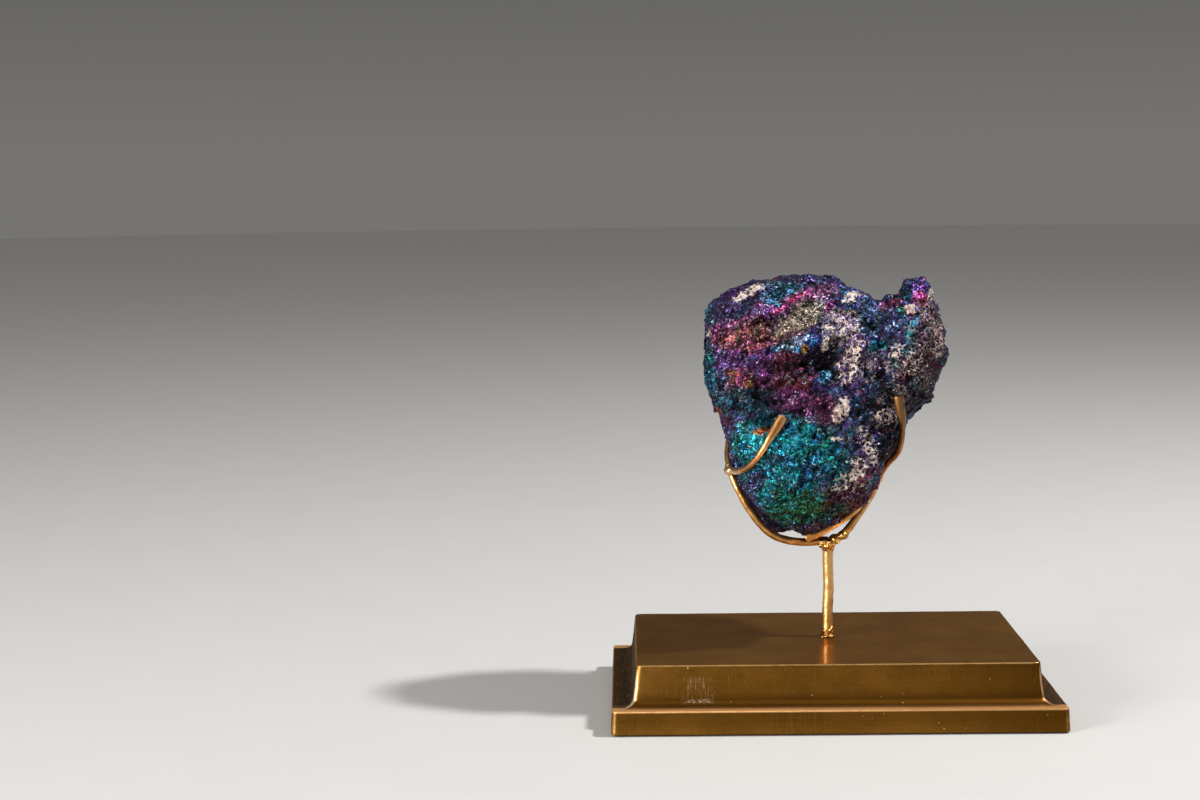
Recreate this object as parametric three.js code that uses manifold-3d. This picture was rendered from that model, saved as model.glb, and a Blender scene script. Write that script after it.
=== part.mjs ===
// A piece of peacock ore held by a brass claw stand.
//
// Millimetres, +Z up, +X to the right and +Y to the back when the stone's best face is in front.
// The origin is on the underside, at the middle of the base, which is also under the stem.

import * as THREE from 'three';
import { mergeVertices } from 'three/addons/utils/BufferGeometryUtils.js';
import Module from 'manifold-3d';

const wasm = await Module();
wasm.setup();

// ---- Driving dimensions ----

const GAP = 0.3; // left between pieces that touch

const FELT = { thickness: 0.7, inset: 1.5 };

// The stepped base: an upper plate with a hollow-curved skirt on a wider, lower tier.
const BASE = {
  plateWidth: 180,
  plateDepth: 109.5,
  plateTop: 29.6,
  ledge: 11,
  ledgeTop: 11.4,
  cove: 6.6,
  coveFoot: 1.7,
  coveRise: 4,
  flare: [[1, 20], [0.5, 25]], // how far the skirt's wall leans out, and at what height
  draft: 0.5,
  wornEdge: 0.7,
  cornerRadius: 2.4,
};

// 5 mm rod for the stem and 4 mm rod for the claws.
const STEM = { radius: 2.5, top: 72.7 };
const WIRE = { radius: 2, step: 3.8, sides: 8 };

// Each claw was drawn out thinner towards its tip, which was then hammered into a flat paddle.
const CLAW = { start: 1.55, neck: 1.4 };
const PADDLE = { length: 15, halfWidth: 2.3, halfThickness: 1.35 };
const cutEnd = (radius) => ({ length: 8, halfWidth: 1.08 * radius, halfThickness: 0.94 * radius });

// The collar of braze at the stem's foot, as [radius, height above the plate], and its top.
const COLLAR = { section: [[4.1, 0], [3.7, 0.8], [3.4, 2], [3.25, 4.4]], height: 5 };

// ---- Rod routes, as points on their centre lines ----

const STEM_ROUTE = [
  [0.3, 0, BASE.plateTop + GAP],
  [0.1, 0, 42],
  [0.6, 0, 54],
  [0.2, 0, 66],
  [0.3, 0, STEM.top],
];

// Up the left side in one bow, past the fork, and round behind the stone as the left back claw.
const LEFT_ARM_ROUTE = [
  [-2.6, 0, 75.3],
  [-8, -0.8, 75],
  [-14.2, -2.2, 75.4],
  [-20.8, -3.8, 76.9],
  [-26, -5, 79.3],
  [-30.5, -5.8, 83.2],
  [-34.4, -6.2, 88],
  [-38, -6, 93.5],
  [-41.1, -5.2, 99.4],
  [-43.8, -3.6, 104.8],
  [-45.2, -1.2, 109.9],
  [-46.1, 4, 113.6],
  [-45.9, 11.5, 117],
  [-44.7, 19, 121.4],
  [-43.2, 25, 127.4],
  [-40.6, 30.4, 134.8],
];

const LEFT_FRONT_CLAW_ROUTE = [
  [-44.5, -5.6, 110],
  [-44.3, -8.8, 110.3],
  [-44.2, -12.5, 110.7],
  [-43.9, -16.4, 111.1],
  [-43.2, -20.4, 111.6],
  [-41.9, -24.6, 112.4],
  [-39.7, -29.4, 114],
  [-36.9, -33.9, 116.8],
  [-34.5, -36.4, 120.4],
  [-32.1, -38, 124.1],
  [-29.6, -38.1, 128.4],
  [-26.9, -36.9, 132.4],
  [-23, -35.7, 138.4],
];

// Up the right side, across the hollow in the stone's flank and up its front as the right front claw.
const RIGHT_ARM_ROUTE = [
  [3.2, 0, 75.9],
  [6.3, 0, 77.3],
  [8.4, 0.2, 79.2],
  [10.4, 0.5, 81.4],
  [12.3, 1, 84.1],
  [14.4, 1.6, 87.2],
  [16.9, 2.6, 90.5],
  [19.2, 3.6, 93.6],
  [21.1, 4.2, 96.4],
  [22.7, 4.2, 99.5],
  [23.5, 2.6, 102.8],
  [24.4, -1.2, 106.8],
  [26.9, -8.2, 112.8],
  [29.4, -13.7, 116.8],
  [31.1, -17.2, 119.9],
  [31.6, -20.4, 124.2],
  [31.8, -24.6, 129.9],
  [31.2, -28.6, 135.3],
  [30.1, -30, 140.7],
  [29.3, -30.7, 146.5],
];

const RIGHT_BACK_CLAW_ROUTE = [
  [23.8, 5.4, 105.1],
  [25.3, 9, 107.5],
  [27, 13, 110.8],
  [28.5, 17, 115.5],
  [30.6, 20.5, 121],
  [32, 24, 127.5],
  [32.4, 28.4, 134.5],
  [31.4, 32.8, 141.3],
];

// A short cradle rod, brazed to the right arm, that the stone's foot sits on.
const FOOT_REST_ROUTE = [
  [-10.7, -7.6, 78],
  [-6, -7.6, 79.7],
  [0.7, -7.4, 83.5],
  [6.1, -6.4, 86.5],
  [11.6, -4.4, 89.9],
  [15.3, -2, 93.5],
  [16.8, -1, 95.1],
];

const CLAW_ROUTES = [
  LEFT_ARM_ROUTE, LEFT_FRONT_CLAW_ROUTE, RIGHT_ARM_ROUTE, RIGHT_BACK_CLAW_ROUTE, FOOT_REST_ROUTE,
];

// ---- The stone ----

const STONE = {
  centre: [-1, 0, 140],
  front: 33,
  back: 34,
  detail: 16,
  swell: 0.7,
  bearing: 1.1, // least gap between a point of the stone and a rod, or a paddle's edge
  rodReach: 1.7,
  bearingStep: 0.1,
  // The outline's corners melt away between these shares of the way to the front or the back.
  melt: { from: 0.1, to: 0.75, fan: 0.6 },
};

// Its outline from the front, clockwise from the upper left corner, as [x, z] from its centre.
const STONE_OUTLINE = [
  [-53.2, 45], [-49, 47.8], [-44, 51], [-40, 54], [-35.5, 56.2], [-29, 57.6], [-26.5, 56],
  [-22, 58], [-14, 58.8], [-5, 58.6], [2.5, 58.6], [6.5, 56.6], [9.5, 53.6], [13, 52.2], [20, 51.4],
  [22.8, 48.4], [26.5, 46.8], [30.5, 49.4], [35, 51.8], [37, 55.8], [40.5, 57.6], [44.5, 56.4],
  [47, 53.4], [49, 49.5], [50, 45], [53, 39], [54.8, 33], [54.4, 26], [54.2, 18.6], [50.6, 13],
  [50, 7.5], [46.5, 2], [42.6, -2], [40.2, -6.5], [37, -10.5], [34.5, -16.5], [31.5, -22.5],
  [28.5, -28], [26, -32], [24.5, -36], [22.5, -40.5], [19.5, -43.5], [11, -48], [0, -55.4],
  [-6.3, -59.8], [-9.3, -60.6], [-12.6, -58.4], [-18, -58], [-23, -57.4], [-27.5, -55.6],
  [-31.8, -51.8], [-36.3, -45.5], [-39, -39.5], [-41.6, -33.5], [-44.2, -27], [-45.5, -22],
  [-46, -15], [-48.5, -6.5], [-49.5, -3], [-51.8, 2.5], [-55, 9.5], [-56, 17.5], [-55.5, 28],
  [-55, 38],
];

// Ledges, ridges, hollows and lumps. Points are [x, z] from the stone's centre, on one side.
const STONE_RELIEF = [
  // Front: full shoulders on the left, so that the whole face looks forwards.
  { side: 'front', along: [[-42, 40], [-44, 12]], width: 26, height: 8 },
  { side: 'front', along: [[-36, -14], [-27, -40]], width: 22, height: 5 },
  // Front, upper left: a rising ridge, a flat patch under it and the lip of the ledge below that.
  { side: 'front', along: [[-25, 38], [-11, 46], [2, 54]], width: 5, height: 2 },
  { side: 'front', along: [[-26, 26], [-14, 29], [-5, 33]], width: 6, height: 3.2 },
  { side: 'front', along: [[-48, 34], [-30, 27]], width: 12, height: 1.8 },
  { side: 'front', along: [[-46, 52], [-36, 53]], width: 8, height: 1.6 },
  { side: 'front', along: [[-27, 60], [-26, 50]], width: 4.5, height: -1.8 },
  // The dark hollow under the ledge, and the pale ridge that bounds it on the right.
  { side: 'front', along: [[-8, 22], [0, 19], [2, 25]], width: 10, height: -7.5 },
  { side: 'front', along: [[6, 36], [11, 25], [15, 9]], width: 7, height: 4.2 },
  { side: 'front', along: [[-20, 14], [-8, 6]], width: 10, height: 1.6 },
  // The valley that runs down from the saddle between the two summits.
  { side: 'front', along: [[26, 52], [23, 36], [25, 20], [28, 4]], width: 11, height: -6 },
  { side: 'front', along: [[45, 50], [42, 38], [46, 24]], width: 11, height: 3.5 },
  { side: 'front', along: [[31, 19]], width: 5, height: -3 },
  // The undercut at the lower right, and the edge of the front face beside it.
  { side: 'front', along: [[38, -2], [34, -14], [29, -26]], width: 16, height: -9 },
  { side: 'front', along: [[33, -10], [31, -17], [28, -26]], width: 8.5, height: -16 },
  { side: 'front', along: [[8, 1], [12, -10], [20, -18]], width: 7, height: 3 },
  { side: 'front', along: [[21, -18], [16, -29], [8, -41]], width: 8, height: 4 },
  // The shallow hollow band over the bulging lower body.
  { side: 'front', along: [[-50, 0], [-38, -4], [-26, -2]], width: 9, height: -3 },
  { side: 'front', along: [[-24, -24], [-10, -34]], width: 22, height: 3 },
  { side: 'front', along: [[-35, -36], [-18, -40], [-4, -46]], width: 5, height: 1.4 },
  // The face's lower left edge, cut back behind the arm.
  { side: 'front', along: [[-45, -20], [-39.5, -38], [-32, -50], [-23, -57]], width: 10, height: -9 },
  // The flanks behind the arms, which fall away towards the back.
  { side: 'back', along: [[36, -12], [30, -26], [20, -44]], width: 16, height: -11 },
  { side: 'back', along: [[-48, -6], [-43, -22], [-36, -40]], width: 17, height: -10 },
  // Back: two broken ledges, a hollow and a rounded shoulder.
  { side: 'back', along: [[-44, 30], [-20, 38], [8, 34]], width: 9, height: 4 },
  { side: 'back', along: [[-40, 20], [-14, 24], [12, 18]], width: 10, height: -4.5 },
  { side: 'back', along: [[-36, -2], [-12, 4], [20, -4]], width: 8, height: 3 },
  { side: 'back', along: [[-34, -16], [-10, -12]], width: 12, height: -3 },
  { side: 'back', along: [[26, 44], [30, 24], [24, 8]], width: 10, height: -5 },
  { side: 'back', along: [[44, 40], [46, 22]], width: 12, height: 3 },
  { side: 'back', along: [[-16, -30], [2, -40]], width: 16, height: 3 },
];

// Broken flats: planes that trim the lumps, spread over the front and the back.
const FRACTURE = { faces: 64, leastFacing: 0.3, shallow: 0.6, deep: 3.2, seed: 5 };
const LUMPS = [
  { size: 24, height: 3.4, seed: 11 },
  { size: 11, height: 1.7, seed: 23 },
];

// ---- Materials ----

const metal = (color, roughness) =>
  new THREE.MeshStandardMaterial({ color, roughness, metalness: 1 });
const BRONZE = metal(0x6b4a1e, 0.42);
const BRASS = metal(0xb27a35, 0.34);
const BRAZE = metal(0xd8a25c, 0.38);
const FELT_BLACK = new THREE.MeshStandardMaterial({ color: 0x14120f, roughness: 1 });
const ORE = new THREE.MeshStandardMaterial({ color: 0x3c4a78, roughness: 0.45, metalness: 0.6 });

const object = new THREE.Group();

function add(name, geometry, material) {
  const mesh = new THREE.Mesh(geometry, material);
  mesh.name = name;
  object.add(mesh);
}

// ---- Shared makers ----

// A closed skin over equal rings of points, with a fan over each end.
function skin(rings) {
  const size = rings[0].length;
  const middle = (ring) => ring.reduce((sum, p) => sum.add(p), new THREE.Vector3()).divideScalar(size);
  const points = [...rings.flat(), middle(rings[0]), middle(rings.at(-1))];
  const foot = rings.length * size;
  const head = foot + 1;
  const last = (rings.length - 1) * size;
  const index = [];
  for (let k = 0; k < size; k += 1) {
    const next = (k + 1) % size;
    for (let row = 0; row < last; row += size) {
      index.push(row + k, row + next, row + size + next);
      index.push(row + k, row + size + next, row + size + k);
    }
    index.push(foot, next, k);
    index.push(head, last + k, last + next);
  }
  const geometry = new THREE.BufferGeometry().setFromPoints(points);
  geometry.setIndex(index);
  return geometry;
}

const vector = (p) => new THREE.Vector3(...p);
const clamp01 = (t) => THREE.MathUtils.clamp(t, 0, 1);

// A bent rod that thins evenly from `radius` to `neck`, where its hammered or cut end starts. The
// end's flat side faces the front.
function rod(route, radius, neck = radius, end = cutEnd(radius), sides = WIRE.sides) {
  const path = new THREE.CatmullRomCurve3(route.map(vector), false, 'centripetal');
  const length = path.getLength();
  const steps = Math.round(length / WIRE.step);
  const front = new THREE.Vector3(0, -1, 0);
  const rings = [];
  for (let i = 0; i <= steps; i += 1) {
    const t = i / steps;
    const centre = path.getPointAt(t);
    const along = path.getTangentAt(t);
    const across = new THREE.Vector3().crossVectors(front, along).normalize();
    const outward = new THREE.Vector3().crossVectors(along, across);
    const drawn = THREE.MathUtils.lerp(radius, neck, clamp01((t * length) / (length - end.length)));
    const toTip = Math.min(((1 - t) * length) / end.length, 1);
    const halfWidth = THREE.MathUtils.lerp(end.halfWidth, drawn, toTip ** 2);
    const halfThickness = THREE.MathUtils.lerp(end.halfThickness, drawn, toTip);
    const ring = [];
    for (let k = 0; k < sides; k += 1) {
      const angle = (k / sides) * 2 * Math.PI;
      const point = centre.clone().addScaledVector(across, halfWidth * Math.cos(angle));
      ring.push(point.addScaledVector(outward, halfThickness * Math.sin(angle)));
    }
    rings.push(ring);
  }
  return skin(rings);
}

// The space a rod needs in a bead of braze: a little wider and longer than the rod.
function rodSpace(route, radius, neck = radius) {
  const stretched = route.map(vector);
  const [first, second] = stretched;
  const [beforeLast, last] = stretched.slice(-2);
  const past = (from, to) => to.clone().sub(from).setLength(GAP).add(to);
  const ends = [past(second, first), past(beforeLast, last)];
  const whole = [ends[0], ...stretched.slice(1, -1), ends[1]];
  const [wide, narrow] = [radius, neck].map((r) => (r + GAP) / Math.cos(Math.PI / WIRE.sides));
  return rod(whole.map((p) => p.toArray()), wide, narrow, cutEnd(narrow));
}

function solid(geometry) {
  const plain = geometry.clone();
  plain.deleteAttribute('normal');
  plain.deleteAttribute('uv');
  const merged = mergeVertices(plain);
  const vertProperties = new Float32Array(merged.attributes.position.array);
  const triVerts = new Uint32Array(merged.index.array);
  return new wasm.Manifold(new wasm.Mesh({ numProp: 3, vertProperties, triVerts }));
}

function geometryOf(manifold) {
  const mesh = manifold.getMesh();
  const geometry = new THREE.BufferGeometry();
  geometry.setAttribute('position', new THREE.BufferAttribute(mesh.vertProperties, mesh.numProp));
  geometry.setIndex(new THREE.BufferAttribute(mesh.triVerts, 1));
  return geometry;
}

// Braze: lumps melted into one, with room left for the rods that they join. Offcuts are dropped.
function braze(lumps, spaces) {
  const ball = ({ at, radius }) => {
    const geometry = new THREE.IcosahedronGeometry(1, 1);
    geometry.scale(...radius);
    return solid(geometry.translate(...at));
  };
  const joined = lumps.map(ball).reduce((sum, lump) => sum.add(lump));
  const freed = spaces.reduce((rest, space) => rest.subtract(solid(space)), joined);
  const largestFirst = freed.decompose().sort((a, b) => b.volume() - a.volume());
  return geometryOf(largestFirst[0]);
}

// ---- Base ----

// A rounded rectangle at height z, `out` wider on every side than the upper plate.
function baseRing(out, z) {
  const arcSteps = 4;
  const r = BASE.cornerRadius;
  const x = BASE.plateWidth / 2 + out - r;
  const y = BASE.plateDepth / 2 + out - r;
  const corners = [[x, y], [-x, y], [-x, -y], [x, -y]];
  return corners.flatMap(([cx, cy], quarter) =>
    Array.from({ length: arcSteps + 1 }, (_, i) => {
      const angle = (quarter + i / arcSteps) * (Math.PI / 2);
      return new THREE.Vector3(cx + r * Math.cos(angle), cy + r * Math.sin(angle), z);
    }));
}

function base() {
  const { wornEdge, cove, coveFoot, coveRise, flare, ledge, ledgeTop, plateTop } = BASE;
  const bottom = FELT.thickness;
  const outer = ledge + BASE.draft;
  const soft = 0.3 * wornEdge; // an edge is rounded in two facets that meet this far from it
  const rings = [
    baseRing(outer - wornEdge / 2, bottom),
    baseRing(outer, bottom + wornEdge),
    baseRing(ledge, ledgeTop - wornEdge),
    baseRing(ledge - soft, ledgeTop - soft),
    baseRing(ledge - wornEdge, ledgeTop),
    baseRing(cove, ledgeTop),
  ];
  // The cove at the skirt's foot: a quarter of an ellipse that runs up into the wall.
  const coveSteps = 5;
  for (let i = 1; i <= coveSteps; i += 1) {
    const angle = (i / coveSteps) * (Math.PI / 2);
    const out = cove - (cove - coveFoot) * Math.sin(angle);
    rings.push(baseRing(out, ledgeTop + coveRise * (1 - Math.cos(angle))));
  }
  rings.push(
    ...flare.map(([out, z]) => baseRing(out, z)),
    baseRing(0, plateTop - wornEdge),
    baseRing(-soft, plateTop - soft),
    baseRing(-wornEdge, plateTop),
  );
  add('base', skin(rings), BRONZE);
}

function feltPad() {
  const out = BASE.ledge + BASE.draft - FELT.inset;
  add('felt_pad', skin([baseRing(out, 0), baseRing(out, FELT.thickness)]), FELT_BLACK);
}

// ---- Stem ----

function stem() {
  const { radius } = STEM;
  const end = { length: 10, halfWidth: radius, halfThickness: radius };
  add('stem', rod(STEM_ROUTE, radius, radius, end, 12), BRASS);
}

// A collar of braze in the corner between the stem and the plate.
function stemFootBraze() {
  const bore = STEM.radius + GAP;
  const [x, y] = STEM_ROUTE[0];
  const section = [[bore, 0], ...COLLAR.section, [bore, COLLAR.height], [bore, 0]];
  const collar = new THREE.LatheGeometry(section.map(([r, h]) => new THREE.Vector2(r, h)), 14);
  collar.rotateX(Math.PI / 2);
  add('stem_foot_braze', geometryOf(solid(collar.translate(x, y, BASE.plateTop))), BRAZE);
}

// The gob where the stem and both arms meet, with two beads on the right arm.
function crotchBraze() {
  const lumps = [
    { at: [0.3, 0, 72.3], radius: [3.8, 3.6, 3.6] },
    { at: [-0.8, 0, 75.1], radius: [4.7, 3.7, 3] },
    { at: [3.6, -0.4, 76.3], radius: [3.2, 3.1, 2.8] },
    { at: [7.5, -0.3, 78.1], radius: [2.8, 2.9, 2.7] },
  ];
  const spaces = [
    rodSpace(STEM_ROUTE, STEM.radius),
    rodSpace(LEFT_ARM_ROUTE, WIRE.radius, CLAW.neck),
    rodSpace(RIGHT_ARM_ROUTE, WIRE.radius, CLAW.neck),
  ];
  add('crotch_braze', braze(lumps, spaces), BRAZE);
}

// ---- Claws ----

function claws() {
  add('left_arm', rod(LEFT_ARM_ROUTE, WIRE.radius, CLAW.neck, PADDLE), BRASS);
  add('left_front_claw', rod(LEFT_FRONT_CLAW_ROUTE, CLAW.start, CLAW.neck, PADDLE), BRASS);
  add('right_arm', rod(RIGHT_ARM_ROUTE, WIRE.radius, CLAW.neck, PADDLE), BRASS);
  add('right_back_claw', rod(RIGHT_BACK_CLAW_ROUTE, CLAW.start, CLAW.neck, PADDLE), BRASS);
  add('foot_rest', rod(FOOT_REST_ROUTE, WIRE.radius), BRASS);
}

// A bead at each fork, on the rods that it joins, and one where the cradle rod meets the right arm.
function forkBraze() {
  const leftArm = rodSpace(LEFT_ARM_ROUTE, WIRE.radius, CLAW.neck);
  const rightArm = rodSpace(RIGHT_ARM_ROUTE, WIRE.radius, CLAW.neck);
  const bead = (at, r) => ({ at, radius: [r, r, r] });
  add('left_fork_braze', braze(
    [bead([-45.8, -3.3, 109.4], 2.8), bead([-45.4, -5.8, 109.7], 2.3)],
    [leftArm, rodSpace(LEFT_FRONT_CLAW_ROUTE, CLAW.start, CLAW.neck)],
  ), BRAZE);
  add('right_fork_braze', braze(
    [bead([24.1, 3.4, 104.5], 2.7)],
    [rightArm, rodSpace(RIGHT_BACK_CLAW_ROUTE, CLAW.start, CLAW.neck)],
  ), BRAZE);
  add('foot_rest_braze', braze(
    [bead([17.2, 0.6, 94.3], 3.1)],
    [rightArm, rodSpace(FOOT_REST_ROUTE, WIRE.radius)],
  ), BRAZE);
}

// ---- Stone ----

// Seeded numbers from 0 to 1, the same on every run.
function seeded(seed) {
  let state = seed;
  return () => {
    state = (state * 1664525 + 1013904223) % 4294967296;
    return state / 4294967296;
  };
}

// Smooth noise between -1 and 1 on a lattice of the given seed.
function noise(p, seed) {
  const corner = (x, y, z) => {
    const wave = Math.sin(x * 127.1 + y * 311.7 + z * 74.7 + seed * 53.9) * 43758.5453;
    return 2 * (wave - Math.floor(wave)) - 1;
  };
  const low = p.clone().floor();
  const t = p.clone().sub(low);
  const ease = (v) => v * v * (3 - 2 * v);
  let sum = 0;
  for (const dx of [0, 1]) {
    for (const dy of [0, 1]) {
      for (const dz of [0, 1]) {
        const wx = dx ? ease(t.x) : 1 - ease(t.x);
        const wy = dy ? ease(t.y) : 1 - ease(t.y);
        const wz = dz ? ease(t.z) : 1 - ease(t.z);
        sum += wx * wy * wz * corner(low.x + dx, low.y + dy, low.z + dz);
      }
    }
  }
  return sum;
}

// Distance from the stone's centre to its outline, in the direction (x, z).
function outlineRadius(x, z) {
  const length = Math.hypot(x, z) || 1;
  const [ux, uz] = length > 1e-9 ? [x / length, z / length] : [1, 0];
  let best = 0;
  STONE_OUTLINE.forEach(([ax, az], i) => {
    const [bx, bz] = STONE_OUTLINE[(i + 1) % STONE_OUTLINE.length];
    const across = ux * (bz - az) - uz * (bx - ax);
    const reach = (ax * (bz - az) - az * (bx - ax)) / across;
    const hit = ((reach * ux - ax) * (bx - ax) + (reach * uz - az) * (bz - az))
      / ((bx - ax) ** 2 + (bz - az) ** 2);
    if (reach > 0 && hit >= -1e-6 && hit <= 1 + 1e-6) best = Math.max(best, reach);
  });
  return best;
}

// The same with its corners melted away: the mean over a fan of directions.
function meltedRadius(x, z) {
  const { fan } = STONE.melt;
  const samples = 4;
  let sum = 0;
  for (let i = -samples; i <= samples; i += 1) {
    const angle = Math.atan2(z, x) + (fan * i) / samples;
    sum += outlineRadius(Math.cos(angle), Math.sin(angle));
  }
  return sum / (2 * samples + 1);
}

// The pillow shape under the relief, for a direction from the centre. Its rim is the outline, whose
// corners melt away towards the middle of the front and the back.
function pillow(direction) {
  const { x, y, z } = direction;
  const flat = Math.hypot(x, z);
  const depth = y < 0 ? STONE.front : STONE.back;
  const out = Math.sign(y) * depth * Math.abs(y) ** STONE.swell;
  if (flat < 1e-9) return new THREE.Vector3(0, out, 0);
  const melt = THREE.MathUtils.smoothstep(Math.abs(y), STONE.melt.from, STONE.melt.to);
  const radius = THREE.MathUtils.lerp(outlineRadius(x, z), meltedRadius(x, z), melt);
  const spread = (radius * flat ** STONE.swell) / flat;
  return new THREE.Vector3(x * spread, out, z * spread);
}

// The directions nearest to the outline's corners move onto them, so that no corner is cut off.
function takeCorners(directions) {
  const free = new Set(directions);
  for (const [x, z] of STONE_OUTLINE) {
    const corner = new THREE.Vector3(x, 0, z).normalize();
    const nearest = [...free].reduce((best, d) => (d.dot(corner) > best.dot(corner) ? d : best));
    nearest.copy(corner);
    free.delete(nearest);
  }
}

// The point of the pillow's front or back that lies at [x, z].
function onPillow([x, z], side) {
  const share = Math.min(1, Math.hypot(x, z) / outlineRadius(x, z));
  const flat = share ** (1 / STONE.swell);
  const y = Math.sqrt(1 - flat * flat) * (side === 'front' ? -1 : 1);
  const scale = flat / (Math.hypot(x, z) || 1);
  return pillow(new THREE.Vector3(x * scale, y, z * scale));
}

function distanceToLine(point, line) {
  if (line.length === 1) return point.distanceTo(line[0]);
  const nearest = new THREE.Vector3();
  const distances = line.slice(1).map((end, i) => {
    new THREE.Line3(line[i], end).closestPointToPoint(point, true, nearest);
    return point.distanceTo(nearest);
  });
  return Math.min(...distances);
}

// Raises or sinks the surface mostly forwards or backwards, and hardly at all on the outline.
function addRelief(points, directions) {
  const sideways = 0.4;
  const outward = directions.map(({ x, y, z }) => new THREE.Vector3(sideways * x, y, sideways * z));
  for (const { side, along, width, height } of STONE_RELIEF) {
    const line = along.map((at) => onPillow(at, side));
    points.forEach((point, i) => {
      const near = clamp01(1 - (distanceToLine(point, line) / width) ** 2);
      point.addScaledVector(outward[i], height * near * near);
    });
  }
}

// Rough lumps all over, but low along the outline.
function addLumps(points, directions) {
  const onRim = 0.2;
  const fullAt = 0.6;
  for (const { size, height, seed } of LUMPS) {
    points.forEach((point, i) => {
      const share = THREE.MathUtils.lerp(onRim, 1, clamp01(Math.abs(directions[i].y) / fullAt));
      const bump = noise(point.clone().divideScalar(size), seed);
      point.addScaledVector(directions[i], height * share * bump);
    });
  }
}

// Trims what stands out past a set of planes, which leaves flat broken faces.
function breakFaces(points) {
  const random = seeded(FRACTURE.seed);
  const goldenAngle = Math.PI * (3 - Math.sqrt(5));
  for (let i = 0; i < FRACTURE.faces; i += 1) {
    const height = 1 - (2 * (i + 0.5)) / FRACTURE.faces;
    const ring = Math.sqrt(1 - height * height);
    const facing = new THREE.Vector3(
      ring * Math.cos(i * goldenAngle), height, ring * Math.sin(i * goldenAngle),
    );
    const cut = THREE.MathUtils.lerp(FRACTURE.shallow, FRACTURE.deep, random());
    if (Math.abs(height) < FRACTURE.leastFacing) continue;
    const limit = Math.max(...points.map((p) => p.dot(facing))) - cut;
    for (const point of points) {
      const over = point.dot(facing) - limit;
      if (over > 0) point.addScaledVector(facing, -over);
    }
  }
}

// Where the stone bears on a rod, its points move straight in until they are clear of the rod.
function bearOnRods(points) {
  const centre = vector(STONE.centre);
  for (const route of CLAW_ROUTES) {
    const path = new THREE.CatmullRomCurve3(route.map(vector), false, 'centripetal');
    const line = path.getSpacedPoints(Math.ceil(path.getLength())).map((p) => p.sub(centre));
    const paddleAt = line.length - PADDLE.length;
    const least = (i) => (i < paddleAt ? STONE.rodReach : WIRE.radius) + STONE.bearing;
    for (const point of points) {
      while (line.some((p, i) => p.distanceTo(point) < least(i))) {
        point.setLength(point.length() - STONE.bearingStep);
      }
    }
  }
}

function stone() {
  const sphere = new THREE.IcosahedronGeometry(1, STONE.detail);
  sphere.deleteAttribute('normal');
  sphere.deleteAttribute('uv');
  const geometry = mergeVertices(sphere);
  const place = geometry.attributes.position;
  const directions = Array.from({ length: place.count }, (_, i) =>
    new THREE.Vector3().fromBufferAttribute(place, i).normalize());
  takeCorners(directions);
  const points = directions.map(pillow);
  addRelief(points, directions);
  addLumps(points, directions);
  breakFaces(points);
  bearOnRods(points);
  points.forEach((point, i) => place.setXYZ(i, point.x, point.y, point.z));
  add('stone', geometry.translate(...STONE.centre), ORE);
}

base();
feltPad();
stem();
stemFootBraze();
crotchBraze();
claws();
forkBraze();
stone();

export default object;
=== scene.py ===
"""A rough piece of peacock ore held by a brass claw stand on a stepped brass base."""
import math
import random

import bmesh
import bpy
import numpy as np
from mathutils import Matrix, Vector, noise
from mathutils.bvhtree import BVHTree
from mathutils.kdtree import KDTree


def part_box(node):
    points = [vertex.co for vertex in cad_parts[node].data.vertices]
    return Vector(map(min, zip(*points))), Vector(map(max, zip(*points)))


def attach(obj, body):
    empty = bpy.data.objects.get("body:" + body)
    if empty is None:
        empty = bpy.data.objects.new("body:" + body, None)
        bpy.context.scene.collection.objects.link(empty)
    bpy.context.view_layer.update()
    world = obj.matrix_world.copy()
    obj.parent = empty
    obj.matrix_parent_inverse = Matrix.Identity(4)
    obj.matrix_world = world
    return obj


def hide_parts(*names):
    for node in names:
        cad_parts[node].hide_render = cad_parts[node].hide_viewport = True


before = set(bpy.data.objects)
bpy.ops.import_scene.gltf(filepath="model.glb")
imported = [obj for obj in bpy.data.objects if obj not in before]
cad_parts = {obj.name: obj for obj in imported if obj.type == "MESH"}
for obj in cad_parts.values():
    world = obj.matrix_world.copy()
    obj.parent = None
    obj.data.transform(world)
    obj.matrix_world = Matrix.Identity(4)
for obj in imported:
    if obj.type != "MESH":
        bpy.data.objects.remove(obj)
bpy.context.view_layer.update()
MM = 0.001


# ---- The base ----
# A solid brass casting in two steps, with a hollow-curved foot to the upper one. It was ground flat
# and brushed along its length, then left to brown. The ledges at its two ends are matt, with a painted
# dark reflection.

base_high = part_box("base")[1]
# Heights, and distances out from the upper plate's edge, in mm.
UNDERSIDE = 0.7  # the felt's thickness
LEDGE = 11.0
LEDGE_TOP = 11.4
DRAFT = 0.5
PLATE_TOP = base_high.z / MM
COVE_FOOT = 6.6
COVE_WIDTH = 4.9
COVE_HEIGHT = 4.0
COVE_STEPS = 8
bends = [math.pi / 2 * step / COVE_STEPS for step in range(COVE_STEPS + 1)]
cove = [(COVE_FOOT - COVE_WIDTH * math.sin(bend), LEDGE_TOP + COVE_HEIGHT * (1 - math.cos(bend)))
        for bend in bends]
# The casting's section from its underside up, as (distance out, height).
SECTION = [(LEDGE + DRAFT, UNDERSIDE), (LEDGE, LEDGE_TOP), *cove,
           (1.0, 20.0), (0.5, 25.0), (0.0, PLATE_TOP)]

HALF_WIDTH = base_high.x - (LEDGE + DRAFT) * MM  # of the upper plate
HALF_DEPTH = base_high.y - (LEDGE + DRAFT) * MM
CORNER = 2.4 * MM
WORN_EDGE = 0.55 * MM
CUT_STEP = 4 * MM


def start_piece(name):
    """Names the new primitive and leaves it as the only selected object."""
    piece = bpy.context.object
    piece.name = piece.data.name = name
    return piece


def deselect():
    bpy.ops.object.select_all(action="DESELECT")


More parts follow.
